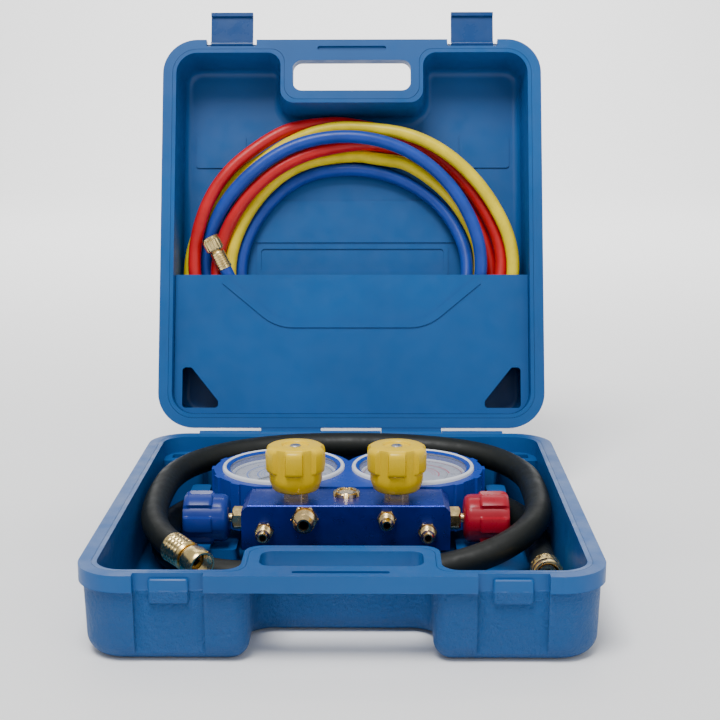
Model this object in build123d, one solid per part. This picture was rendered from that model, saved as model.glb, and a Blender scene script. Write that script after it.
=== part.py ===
from build123d import *
import math
import os

# Four-valve refrigerant manifold with two gauges, its three charging hoses and its vacuum hose,
# in the moulded carry case that holds them. Millimetres, +Z up, origin at the middle of the
# underside of the case, +X to the right, +Y towards the hinge.

# ---- driving dimensions: carry case ------------------------------------------------------
CASE_W = 340.0            # over the rim band, left to right
CASE_D = 350.0            # over the rim band, front to back
BASE_H = 60.0             # underside to parting plane
LID_H = 52.0              # parting plane to top of the lid
CORNER_R = 31.0           # plan corners of the rim
SKIN = 2.4                # wall of each moulded skin
BAND_H = 11.2             # height of the rim band
BAND_STEP = 2.5           # how far the band stands out of the wall below it
WALL_DRAFT = 2.0          # degrees, outer wall
CAVITY_DRAFT = 4.0        # degrees, inner wall
SHOULDER_R = 13.0         # round between outer wall and bottom or top
FLOOR_R = 7.0             # round between inner wall and floor
SEAM_INSET = 8.5          # rim edge to the seam between outer skin and liner
LAND_INSET = 12.0         # rim edge to the mouth of the cavity
SEAM_GAP = 0.25
NOTCH_LAND = LAND_INSET - BAND_STEP - SKIN   # cavity mouth from the notch's outer wall
NOTCH_SEAM = NOTCH_LAND - LAND_INSET + SEAM_INSET

NOTCH_HALF = 57.0         # half width of the finger notch behind the handle
NOTCH_DEPTH = 51.0        # rim edge to the outer wall of the notch
NOTCH_R = 12.0
GRIP_HOLE_HALF = 53.0
GRIP_BAR = 19.0           # front to back width of the handle bar
GRIP_HOLE_D = 28.0
GRIP_HOLE_R = 8.0
GRIP_SLOT_L = 62.0        # sunk slot along the top of the bar
GRIP_SLOT_W = 4.0
GRIP_SLOT_DEPTH = 2.0

# hinge
HINGE_BACK = 8.0          # hinge axis behind the rim
HINGE_DROP = 5.0          # hinge axis below the parting plane
OPEN_ANGLE = 107.3        # lid swing from shut to its stop
KNUCKLE_R = 5.0
HINGE_PIN_R = 1.5
PIN_CLEARANCE = 0.05
HINGE_HALF = 132.0
KNUCKLE_COUNT = 5
KNUCKLE_GAP = 0.4
LUG_GAP = 3.6             # air between rim wall and the lid's lug below the parting plane

# latches
LATCH_X = 108.5
LATCH_W = 38.0
RECESS_W = 45.0
RECESS_DEPTH = 6.0
RECESS_BACKING = 2.5
LATCH_PLATE = 3.0
LATCH_PIN_R = 1.2
LATCH_PIN_UP = 5.5        # latch pin above the parting plane
LATCH_PIN_IN = 2.9        # latch pin behind the rim face
LATCH_EYE_R = 2.7
LATCH_REACH = 23.5        # parting plane down to the tip of the shut latch
LATCH_LIP = 2.6
CATCH_W = 25.5
CATCH_TOP = 56.6
CATCH_BOTTOM = 40.2
CATCH_OUT = 2.5

# lid pocket panel
PANEL_SET = 9.0           # parting plane to the front of the panel
PANEL_T = 2.2
PANEL_TOP = 137.0         # from the hinge edge of the rim
PANEL_GAP = 0.3
BEAD_HALF_TOP = 113.0
BEAD_HALF_LOW = 66.0
BEAD_LOW = 93.0
BEAD_W = 7.0
BEAD_OUT = 1.2
CORNER_HOLE_X = (118.0, 150.0)
CORNER_HOLE_V = (18.0, 54.0)

# ---- driving dimensions: manifold --------------------------------------------------------
BLOCK_HALF = 76.5
BLOCK_FRONT = -24.0
BLOCK_BACK = 20.0
BLOCK_BOTTOM = 24.0
BLOCK_TOP = 58.0
BLOCK_EDGE = 3.0
GALLERY_R = 3.0
END_VALVE_Y = 0.0
TOP_VALVE_X = 37.4
TOP_VALVE_Y = -3.0
STEM_R = 3.5
PISTON_R = 5.0
PISTON_L = 9.0
VALVE_BORE_DEPTH = 18.0
BONNET_AF = 16.0
BONNET_L = 8.5
BONNET_STUB_R = 7.0
BONNET_STUB_L = 6.0
KNOB_GAP = 2.2            # bonnet to knob, valve shut
SIDE_KNOB_D = 40.0
SIDE_KNOB_L = 34.0
TOP_KNOB_D = 45.0
TOP_KNOB_L = 30.0
KNOB_LOBES = 6
RUN_CLEARANCE = 0.05
VALVE_TRAVEL = 3.5

SMALL_PORT_R = 5.56       # 1/4 inch flare thread
LARGE_PORT_R = 7.94       # 3/8 inch flare thread
OUTER_PORT_X = 59.6
INNER_PORT_X = 29.9
OUTER_PORT_Z = 39.0
INNER_PORT_Z = 48.5
PORT_OUT = 18.0
PORT_THREAD_L = 10.0

SIGHT_Y = 2.1
SIGHT_RING_R = 10.0
SIGHT_RING_H = 3.6

GAUGE_X = 51.3
GAUGE_Y = 72.0
COVER_R = 55.0
COVER_BOTTOM = 22.0
COVER_TOP = 59.0
COVER_T = 3.0
CASE_R = 46.0
CASE_T = 1.2
BEZEL_R = 48.5
BEZEL_WIDTH = 6.0
BEZEL_TOP = 62.0
DIAL_R = 41.5
DIAL_Z = 53.0
DIAL_T = 0.8
LENS_Z = 57.6
LENS_T = 2.0
POINTER_REST = 225.0      # degrees from +X to the zero mark, down and to the left
GAUGE_STEM_R = 5.0

# ---- driving dimensions: hoses -----------------------------------------------------------
HOSE_R = 5.75             # charging hoses
VACUUM_HOSE_R = 10.0
FERRULE_WALL = 1.0
NUT_R = 8.0
NUT_L = 14.0
FERRULE_L = 17.0
VACUUM_NUT_R = 11.0
VACUUM_NUT_L = 17.0
VACUUM_FERRULE_L = 20.0

# ---- places worked out from the above ----------------------------------------------------
FRONT = -CASE_D / 2
BACK = CASE_D / 2
HINGE_Y = BACK + HINGE_BACK
HINGE_Z = BASE_H - HINGE_DROP
HINGE_AXIS = Axis((0, HINGE_Y, HINGE_Z), (1, 0, 0))
BASE_FLOOR = 2 * SKIN
LID_FLOOR = LID_H - 2 * SKIN
VALVE_Z = (BLOCK_BOTTOM + BLOCK_TOP) / 2
EPS = 0.01

parts = {}


def keep(name, shape):
    """Put a finished solid, or a group of like solids, on the list of sub-parts."""
    parts[name] = shape


def open_lid(shape):
    """Turn a piece drawn on the shut lid to where it lies with the lid open."""
    return shape.rotate(HINGE_AXIS, -OPEN_ANGLE)


def box_between(low, high):
    """Box from its lowest to its highest corner."""
    size = [b - a for a, b in zip(low, high)]
    middle = [(a + b) / 2 for a, b in zip(low, high)]
    return Pos(*middle) * Box(*size)


def rod(start, direction, radius, length):
    """Round bar from a point along a direction."""
    plane = Plane(origin=start, z_dir=direction)
    return extrude(plane * Circle(radius), amount=length)


def turned(start, direction, profile):
    """Turned piece: profile is a list of (radius, distance) from the start along the direction."""
    points = [(0, profile[0][1])] + list(profile) + [(0, profile[-1][1])]
    face = make_face(Plane.XZ * Polyline(*points, close=True))
    solid = revolve(face, Axis.Z, 360)
    return Plane(origin=start, z_dir=direction) * solid


def hexagon_bar(start, direction, across_flats, length):
    """Hexagon bar from a point along a direction."""
    plane = Plane(origin=start, z_dir=direction)
    hexagon = RegularPolygon(across_flats / 2, 6, major_radius=False)
    return extrude(plane * hexagon, amount=length)


# ---- carry case: two halves from the same plan ---------------------------------------------
def case_plan(inset, notch_grow=0.0, notched=True):
    """Plan of the case at an inset from the rim edge, with the notch behind the handle."""
    plan = RectangleRounded(CASE_W - 2 * inset, CASE_D - 2 * inset, CORNER_R - inset)
    if not notched:
        return plan
    half = NOTCH_HALF + notch_grow
    back = FRONT + NOTCH_DEPTH + notch_grow
    plan -= Pos(0, (FRONT + back) / 2) * Rectangle(2 * half, back - FRONT)
    mouths = plan.vertices().filter_by(lambda v: abs(abs(v.X) - half) < EPS)
    return fillet(mouths, NOTCH_R)


def half_outer(height):
    """Outer form of one half, rim at Z 0 and growing upwards."""
    band = extrude(case_plan(0, notched=False), amount=BAND_H)
    body = extrude(case_plan(BAND_STEP), amount=height, taper=WALL_DRAFT)
    top_edges = body.edges().group_by(Axis.Z)[-1]
    return band + fillet(top_edges, SHOULDER_R)


def half_hollow(height):
    """Space between outer skin and liner."""
    rim_h = BAND_H - SKIN
    rim = extrude(case_plan(SEAM_INSET, NOTCH_SEAM), amount=rim_h)
    inner = extrude(Pos(0, 0, rim_h - EPS) * case_plan(BAND_STEP + SKIN, SKIN),
                    amount=height - rim_h + EPS, taper=WALL_DRAFT)
    top_edges = inner.edges().group_by(Axis.Z)[-1]
    return rim + fillet(top_edges, SHOULDER_R - SKIN)


def half_cavity(depth, grow=0.0):
    """Cavity of the liner, or with grow its outer form."""
    cavity = extrude(case_plan(LAND_INSET - grow, NOTCH_LAND - grow), amount=depth + grow,
                     taper=CAVITY_DRAFT)
    return fillet(cavity.edges().group_by(Axis.Z)[-1], FLOOR_R + grow)


def grip_hole():
    """Hand hole through the rim band."""
    middle = FRONT + GRIP_BAR + GRIP_HOLE_D / 2
    plan = Pos(0, middle) * RectangleRounded(2 * GRIP_HOLE_HALF, GRIP_HOLE_D, GRIP_HOLE_R)
    return extrude(plan, amount=BAND_H + 1) + extrude(plan, amount=-1)


def grip_slot():
    """Sunk slot along the parting face of the handle bar."""
    plan = Pos(0, FRONT + GRIP_BAR * 0.42) * SlotOverall(GRIP_SLOT_L, GRIP_SLOT_W)
    return extrude(plan, amount=GRIP_SLOT_DEPTH)


def recess(side, low, high):
    """Recess for a latch, cut into the front of a half between two heights."""
    centre = side * LATCH_X
    return box_between((centre - RECESS_W / 2, FRONT - 1, low),
                       (centre + RECESS_W / 2, FRONT + RECESS_DEPTH, high))


def outer_skin(height, recess_height):
    """Outer skin of one half with its handle bar and its latch recesses."""
    skin = half_outer(height) - half_hollow(height - SKIN) - grip_hole() - grip_slot()
    for side in (-1, 1):
        centre = side * LATCH_X
        half = RECESS_W / 2 + RECESS_BACKING
        if recess_height > BAND_H:
            backing = box_between(
                (centre - half, FRONT + BAND_STEP + SKIN / 2, BAND_H - SKIN),
                (centre + half, FRONT + RECESS_DEPTH + RECESS_BACKING, height - SKIN))
            skin += backing & half_outer(height)
        skin -= recess(side, -1, recess_height)
    return skin


def liner(depth):
    """Inner skin of one half: rim land, wall and floor."""
    land = extrude(case_plan(SEAM_INSET + SEAM_GAP, NOTCH_SEAM + SEAM_GAP), amount=SKIN)
    return land + half_cavity(depth, SKIN) - half_cavity(depth)


def hinge_knuckles(on_base):
    """Knuckles of one half, with the lugs that carry them, in shut position."""
    pitch = 2 * HINGE_HALF / KNUCKLE_COUNT
    eye = Pos(HINGE_Y, HINGE_Z) * Circle(KNUCKLE_R)
    root = BACK - BAND_STEP
    if on_base:
        lug = Polygon((root, HINGE_Z - KNUCKLE_R), (HINGE_Y, HINGE_Z - KNUCKLE_R),
                      (HINGE_Y, HINGE_Z + 3), (root, HINGE_Z + 3), align=None)
    else:
        tip = BACK + LUG_GAP
        lug = Polygon((root, BASE_H + 0.4), (tip, BASE_H + 0.4), (tip, HINGE_Z),
                      (HINGE_Y + KNUCKLE_R, HINGE_Z), (HINGE_Y + KNUCKLE_R, BASE_H),
                      (HINGE_Y - 1, BASE_H + 7.5), (root, BASE_H + 7.5), align=None)
    section = eye + lug - Pos(HINGE_Y, HINGE_Z) * Circle(HINGE_PIN_R + PIN_CLEARANCE)
    knuckles = []
    for index in range(KNUCKLE_COUNT):
        if (index % 2 == 0) == on_base:
            start = -HINGE_HALF + index * pitch + KNUCKLE_GAP / 2
            plane = Plane(origin=(start, 0, 0), x_dir=(0, 1, 0), z_dir=(1, 0, 0))
            knuckles.append(extrude(plane * section, amount=pitch - KNUCKLE_GAP))
    return knuckles


def to_base(shape):
    """A half drawn rim down becomes the base: mirrored and set under the parting plane."""
    return Pos(0, 0, BASE_H) * mirror(shape, about=Plane.XY)


def to_lid(shape):
    """A half drawn rim down becomes the shut lid."""
    return Pos(0, 0, BASE_H) * shape


def catch(side):
    """Catch boss in a latch recess of the base."""
    back = FRONT + RECESS_DEPTH
    boss = box_between((side * LATCH_X - CATCH_W / 2, back - CATCH_OUT, CATCH_BOTTOM),
                       (side * LATCH_X + CATCH_W / 2, back + 0.5, CATCH_TOP))
    upright = boss.edges().filter_by(Axis.Y)
    boss = fillet(upright, 2.0)
    return chamfer(boss.faces().sort_by(Axis.Y)[0].edges(), 0.8)


base_shell = to_base(outer_skin(BASE_H, BASE_H))
for side in (-1, 1):
    base_shell += catch(side)
for knuckle in hinge_knuckles(True):
    base_shell += knuckle
keep("case_base_shell", base_shell)

# rests moulded up out of the tray floor: (x low, x high, y low, y high, top)
BLOCK_RESTS = [(-70, -44, -14, 14, BLOCK_BOTTOM), (44, 70, -14, 14, BLOCK_BOTTOM)]
GAUGE_RESTS = [(-74, -28, 52, 92, COVER_BOTTOM), (28, 74, 52, 92, COVER_BOTTOM)]
KNOB_RESTS = [(-102, -82, -13, 13, 20.0), (82, 102, -13, 13, 20.0)]
SIDE_POSTS = [(110, 125, 60, 82, 42.0), (-125, -110, 60, 82, 42.0)]
CORNER_LEDGES = [(-158, -124, 134, 166, 47.0), (124, 158, 134, 166, 47.0)]


def rest_form(low_x, high_x, low_y, high_y, top, inset=0.0):
    """Hollow rest in the tray: its outer form, or with inset the hollow under it."""
    bottom = BASE_FLOOR - SKIN
    height = top - inset - bottom
    spread = height * math.tan(math.radians(WALL_DRAFT)) - inset
    plan = RectangleRounded(high_x - low_x + 2 * spread, high_y - low_y + 2 * spread, 4.0 + spread)
    place = Pos((low_x + high_x) / 2, (low_y + high_y) / 2, bottom)
    return place * extrude(plan, amount=height, taper=WALL_DRAFT)


tray = to_base(liner(BASE_H - BASE_FLOOR))
tray_outer = to_base(half_cavity(BASE_H - BASE_FLOOR, SKIN))
for rest in BLOCK_RESTS + GAUGE_RESTS + KNOB_RESTS + SIDE_POSTS + CORNER_LEDGES:
    tray += rest_form(*rest) & tray_outer
for rest in BLOCK_RESTS + GAUGE_RESTS + KNOB_RESTS + SIDE_POSTS:
    tray -= rest_form(*rest, inset=SKIN)
for low_x, high_x, low_y, high_y, top in CORNER_LEDGES:
    centre = (low_x + high_x) / 2
    tray -= box_between((centre - 10, low_y + 9, top - 8), (centre + 10, high_y - 12, top + 1))
keep("case_base_tray", tray)

keep("hinge_pin", rod((-HINGE_HALF, HINGE_Y, HINGE_Z), (1, 0, 0), HINGE_PIN_R, 2 * HINGE_HALF))

lid_shell = to_lid(outer_skin(LID_H, BAND_H))
for knuckle in hinge_knuckles(False):
    lid_shell += knuckle
LATCH_PIN_Y = FRONT + LATCH_PIN_IN
LATCH_PIN_Z = BASE_H + LATCH_PIN_UP
PIN_SEAT = 2.5
pins = []
for side in (-1, 1):
    start = (side * LATCH_X - RECESS_W / 2 - PIN_SEAT, LATCH_PIN_Y, LATCH_PIN_Z)
    pins.append(rod(start, (1, 0, 0), LATCH_PIN_R, RECESS_W + 2 * PIN_SEAT))
    lid_shell -= rod(start, (1, 0, 0), LATCH_PIN_R, RECESS_W + 2 * PIN_SEAT)
keep("case_lid_shell", open_lid(lid_shell))
keep("latch_pins", open_lid(Compound(children=pins)))

# lid liner with the stiffening relief on its floor
RELIEF = 1.2
lid_liner = to_lid(liner(LID_FLOOR))
lid_liner_outer = to_lid(half_cavity(LID_FLOOR, SKIN))


def lid_pad(low_x, high_x, low_v, high_v, height):
    """Raised field on the lid floor; v runs from the hinge edge of the rim to the front."""
    width, depth = high_x - low_x, high_v - low_v
    place = Pos((low_x + high_x) / 2, BACK - (low_v + high_v) / 2, BASE_H + LID_FLOOR - height)
    return place * extrude(RectangleRounded(width, depth, 3.0), amount=height + SKIN / 2)


RELIEF_FIELDS = [(-145, -99, 243, 274), (99, 145, 243, 274), (-120, 120, 173, 212)]
for field in RELIEF_FIELDS:
    lid_liner += lid_pad(*field, RELIEF) & lid_liner_outer
lid_liner += (lid_pad(-88, 88, 142, 171, RELIEF) - lid_pad(-84, 84, 146, 167, RELIEF)) & lid_liner_outer
keep("case_lid_liner", open_lid(lid_liner))


def pocket_panel():
    """Panel across the hinge half of the lid that makes the hose pocket."""
    slab = box_between((-CASE_W / 2, BACK - PANEL_TOP, PANEL_SET),
                       (CASE_W / 2, BACK, PANEL_SET + PANEL_T))
    panel = slab & half_cavity(LID_FLOOR, -PANEL_GAP)
    face = PANEL_SET
    top_y, low_y = BACK - PANEL_TOP + 5, BACK - BEAD_LOW
    run = FilletPolyline((-BEAD_HALF_TOP, top_y), (-BEAD_HALF_LOW, low_y), (BEAD_HALF_LOW, low_y),
                         (BEAD_HALF_TOP, top_y), radius=40)
    bead = extrude(Pos(0, 0, face - BEAD_OUT) * trace(run, BEAD_W), amount=BEAD_OUT + 0.3)
    panel += bead
    low_x, high_x = CORNER_HOLE_X
    low_v, high_v = CORNER_HOLE_V
    for side in (-1, 1):
        window = Polygon((side * high_x, BACK - high_v), (side * (high_x - 8), BACK - high_v),
                         (side * low_x, BACK - low_v - 6), (side * low_x, BACK - low_v),
                         (side * high_x, BACK - low_v), align=None)
        window = fillet(window.vertices(), 3.0)
        panel -= extrude(Pos(0, 0, face) * window, amount=PANEL_T + 2, both=True)
    return Pos(0, 0, BASE_H) * panel


keep("lid_pocket_panel", open_lid(pocket_panel()))


# ---- latches, drawn shut, turned out to their open place, then carried by the open lid ------
def latch(side):
    """Snap latch with its eye and the lip that hooks under the catch."""
    centre = side * LATCH_X
    inner, outer = centre - LATCH_W / 2, centre + LATCH_W / 2
    face = LATCH_PIN_Y - LATCH_EYE_R
    tip = BASE_H - LATCH_REACH
    plate = box_between((inner, face, tip), (outer, face + LATCH_PLATE, LATCH_PIN_Z))
    lip = box_between((inner, face, tip), (outer, face + LATCH_PLATE + LATCH_LIP - 0.2,
                                          CATCH_BOTTOM - 0.4))
    eye = rod((inner, LATCH_PIN_Y, LATCH_PIN_Z), (1, 0, 0), LATCH_EYE_R, LATCH_W)
    rib_gap = 9.0
    body = plate + lip + eye
    for index in range(3):
        x = centre + (index - 1) * rib_gap
        body += box_between((x - 1, face + 1, CATCH_TOP + 1.2), (x + 1, LATCH_PIN_Y, LATCH_PIN_Z))
    body -= rod((inner - 1, LATCH_PIN_Y, LATCH_PIN_Z), (1, 0, 0),
                LATCH_PIN_R + PIN_CLEARANCE, LATCH_W + 2)
    body = body.rotate(Axis((0, LATCH_PIN_Y, LATCH_PIN_Z), (1, 0, 0)), -90)
    return open_lid(body)


keep("latch_left", latch(-1))
keep("latch_right", latch(1))


# ---- manifold block -----------------------------------------------------------------------
def valve_places():
    """Each valve: name, seat face centre, outward direction, knob size."""
    return [
        ("low_side", (-BLOCK_HALF, END_VALVE_Y, VALVE_Z), (-1, 0, 0), SIDE_KNOB_D, SIDE_KNOB_L),
        ("high_side", (BLOCK_HALF, END_VALVE_Y, VALVE_Z), (1, 0, 0), SIDE_KNOB_D, SIDE_KNOB_L),
        ("vacuum", (-TOP_VALVE_X, TOP_VALVE_Y, BLOCK_TOP), (0, 0, 1), TOP_KNOB_D, TOP_KNOB_L),
        ("charge", (TOP_VALVE_X, TOP_VALVE_Y, BLOCK_TOP), (0, 0, 1), TOP_KNOB_D, TOP_KNOB_L),
    ]


PORTS = [
    ("low_side", -OUTER_PORT_X, OUTER_PORT_Z, SMALL_PORT_R),
    ("vacuum", -INNER_PORT_X, INNER_PORT_Z, LARGE_PORT_R),
    ("charge", INNER_PORT_X, INNER_PORT_Z, SMALL_PORT_R),
    ("high_side", OUTER_PORT_X, OUTER_PORT_Z, SMALL_PORT_R),
]
PORT_SOCKET = 7.0
STEM_SOCKET = 7.0


def along(point, direction, distance):
    """Point at a distance along a direction."""
    return tuple(p + d * distance for p, d in zip(point, direction))


def against(direction):
    return tuple(-d for d in direction)


def manifold_block():
    """Machined block with its gallery, valve bores, port sockets and sight glass well."""
    block = box_between((-BLOCK_HALF, BLOCK_FRONT, BLOCK_BOTTOM), (BLOCK_HALF, BLOCK_BACK, BLOCK_TOP))
    block = chamfer(block.edges().filter_by(Axis.Y).group_by(Axis.Z)[-1], 5.0)
    block = fillet(block.edges().filter_by(Axis.X).group_by(Axis.Z)[-1], BLOCK_EDGE / 2)
    block -= rod((-BLOCK_HALF, END_VALVE_Y, VALVE_Z), (1, 0, 0), GALLERY_R, 2 * BLOCK_HALF)
    for _, seat, out, _, _ in valve_places():
        inward = against(out)
        block -= rod(seat, inward, PISTON_R + RUN_CLEARANCE, VALVE_BORE_DEPTH)
        block -= rod(seat, inward, BONNET_STUB_R, BONNET_STUB_L)
    for _, x, z, radius in PORTS:
        block -= rod((x, BLOCK_FRONT, z), (0, 1, 0), radius * 0.8, PORT_SOCKET)
        block -= rod((x, BLOCK_FRONT, z), (0, 1, 0), 2.0, END_VALVE_Y - BLOCK_FRONT)
    for side in (-1, 1):
        block -= rod((side * GAUGE_X, BLOCK_BACK, VALVE_Z), (0, -1, 0), GAUGE_STEM_R, STEM_SOCKET)
    block -= rod((0, SIGHT_Y, BLOCK_TOP), (0, 0, -1), SIGHT_RING_R - 2, BLOCK_TOP - VALVE_Z)
    return block


keep("manifold_block", manifold_block())

hexagon_l = 4.0
small_ports = []
for _, x, z, radius in PORTS:
    start = (x, BLOCK_FRONT + PORT_SOCKET, z)
    profile = [(radius * 0.8, 0), (radius * 0.8, PORT_SOCKET), (radius * 1.12, PORT_SOCKET),
               (radius * 1.12, PORT_SOCKET + hexagon_l), (radius, PORT_SOCKET + hexagon_l),
               (radius, PORT_SOCKET + hexagon_l + PORT_THREAD_L),
               (radius * 0.62, PORT_SOCKET + PORT_OUT)]
    bore = rod(start, (0, -1, 0), radius * 0.43, PORT_SOCKET + PORT_OUT)
    fitting = turned(start, (0, -1, 0), profile) - bore
    if radius == SMALL_PORT_R:
        small_ports.append(fitting)
    else:
        keep("port_fitting_vacuum", fitting)
keep("port_fittings_small", Compound(children=small_ports))

sight_well = SIGHT_RING_R - 2
sight_ring = turned((0, SIGHT_Y, BLOCK_TOP - 8), (0, 0, 1),
                    [(sight_well, 0), (sight_well, 8), (SIGHT_RING_R, 8),
                     (SIGHT_RING_R, 8 + SIGHT_RING_H - 1), (SIGHT_RING_R - 1, 8 + SIGHT_RING_H)])
sight_ring -= rod((0, SIGHT_Y, BLOCK_TOP - 9), (0, 0, 1), 4.5, 20)
sight_ring -= rod((0, SIGHT_Y, BLOCK_TOP - 1), (0, 0, 1), 6.5, 20)
keep("sight_glass_ring", sight_ring)
keep("sight_glass_lens", rod((0, SIGHT_Y, BLOCK_TOP - 1), (0, 0, 1), 6.45, 3.0))


# ---- valves: bonnet on the block, piston that slides, stem and knob that turn ---------------
def knob_form(diameter, length):
    """Moulded knob along +Z from its inner face: round collar, lobed grip, dished end."""
    radius = diameter / 2
    collar_r = radius * 0.90
    collar_l = length * 0.34
    collar = turned((0, 0, 0), (0, 0, 1), [(collar_r * 0.86, 0), (collar_r, 1.5), (collar_r, collar_l)])
    core = turned((0, 0, 0), (0, 0, 1), [(radius * 0.87, collar_l - 1), (radius * 0.87, length - 3),
                                         (radius * 0.78, length)])
    knob = collar + core
    lobe_width = 2 * math.pi * radius / KNOB_LOBES * 0.58
    sector = Pos(radius * 0.80, 0) * RectangleRounded(radius * 0.40, lobe_width, 1.6)
    limit = turned((0, 0, 0), (0, 0, 1), [(radius, collar_l), (radius, length - 3.4),
                                          (radius - 2.6, length - 0.6)])
    lobe = extrude(Pos(0, 0, collar_l) * sector, amount=length - collar_l) & limit
    for index in range(KNOB_LOBES):
        knob += Rot(0, 0, (index + 0.5) * 360 / KNOB_LOBES) * lobe
    dish = turned((0, 0, 0), (0, 0, 1), [(radius * 0.40, length - 1.6), (radius * 0.46, length + 1)])
    return knob - dish


STEM_IN_KNOB = 18.0
bonnets = []


def valve(name, seat, out, knob_d, knob_l):
    """Bonnet, piston, stem and knob of one valve, shown shut."""
    inward = against(out)
    bonnet = hexagon_bar(seat, out, BONNET_AF, BONNET_L)
    bonnet &= turned(seat, out, [(BONNET_AF * 0.56, 0), (BONNET_AF * 0.56, BONNET_L - 1.5),
                                 (BONNET_AF * 0.48, BONNET_L)])
    bonnet += rod(seat, inward, BONNET_STUB_R - EPS, BONNET_STUB_L)
    bonnet -= rod(along(seat, out, BONNET_L + 1), inward, STEM_R + RUN_CLEARANCE,
                  BONNET_L + BONNET_STUB_L + 2)
    bonnets.append(bonnet)
    piston_top = along(seat, inward, BONNET_STUB_L + VALVE_TRAVEL + 1)
    groove = 1.2
    piston = turned(piston_top, inward,
                    [(PISTON_R, 0), (PISTON_R, 2), (PISTON_R - groove, 2), (PISTON_R - groove, 4.5),
                     (PISTON_R, 4.5), (PISTON_R, PISTON_L - 3), (GALLERY_R * 0.6, PISTON_L - 1.5)])
    piston -= rod(piston_top, inward, STEM_R * 0.75, 2.5)
    keep("piston_" + name, piston)
    knob_start = along(seat, out, BONNET_L + KNOB_GAP)
    stem_from = along(piston_top, inward, 2.3)
    stem_length = 2.3 + BONNET_STUB_L + VALVE_TRAVEL + 1 + BONNET_L + KNOB_GAP + STEM_IN_KNOB
    stem = rod(piston_top, out, STEM_R, stem_length - 2.3)
    stem += rod(stem_from, out, STEM_R * 0.75 - RUN_CLEARANCE, 3.0)
    keep("stem_" + name, stem)
    hub = Plane(origin=knob_start, z_dir=out) * knob_form(knob_d, knob_l)
    knob = hub - rod(along(knob_start, inward, 1), out, STEM_R, STEM_IN_KNOB + 1)
    keep("knob_" + name, knob)


for place in valve_places():
    valve(*place)
keep("valve_bonnets", Compound(children=bonnets))


# ---- gauges ---------------------------------------------------------------------------------
def gauge_cover():
    """One moulded cover round both gauges, with grip lugs at its outer ends."""
    height = COVER_TOP - COVER_BOTTOM
    plan = Sketch()
    for side in (-1, 1):
        plan += Pos(side * GAUGE_X, GAUGE_Y) * Circle(COVER_R)
        for angle in (-52, -26, 0, 26, 52):
            turn = angle if side > 0 else 180 - angle
            spot = Pos(side * GAUGE_X, GAUGE_Y) * Rot(0, 0, turn) * Pos(COVER_R, 0)
            plan += spot * RectangleRounded(4.0, 9.0, 1.0)
    front_web = Pos(0, (BLOCK_BACK + GAUGE_Y) / 2) * Rectangle(2 * (BLOCK_HALF - 6), GAUGE_Y - BLOCK_BACK)
    plan += front_web
    plan -= Pos(0, BLOCK_BACK - 40) * Rectangle(400, 80)
    body = extrude(Pos(0, 0, COVER_BOTTOM) * plan, amount=height)
    for side in (-1, 1):
        body -= rod((side * GAUGE_X, GAUGE_Y, COVER_BOTTOM + COVER_T), (0, 0, 1),
                    CASE_R + 0.1, height)
        body -= rod((side * GAUGE_X, GAUGE_Y, BEZEL_TOP - 6), (0, 0, 1), BEZEL_R + 0.1, 10)
        body -= rod((side * GAUGE_X, BLOCK_BACK - 1, VALVE_Z), (0, 1, 0), GAUGE_STEM_R + 0.1, 30)
    return body


keep("gauge_cover", gauge_cover())


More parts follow.
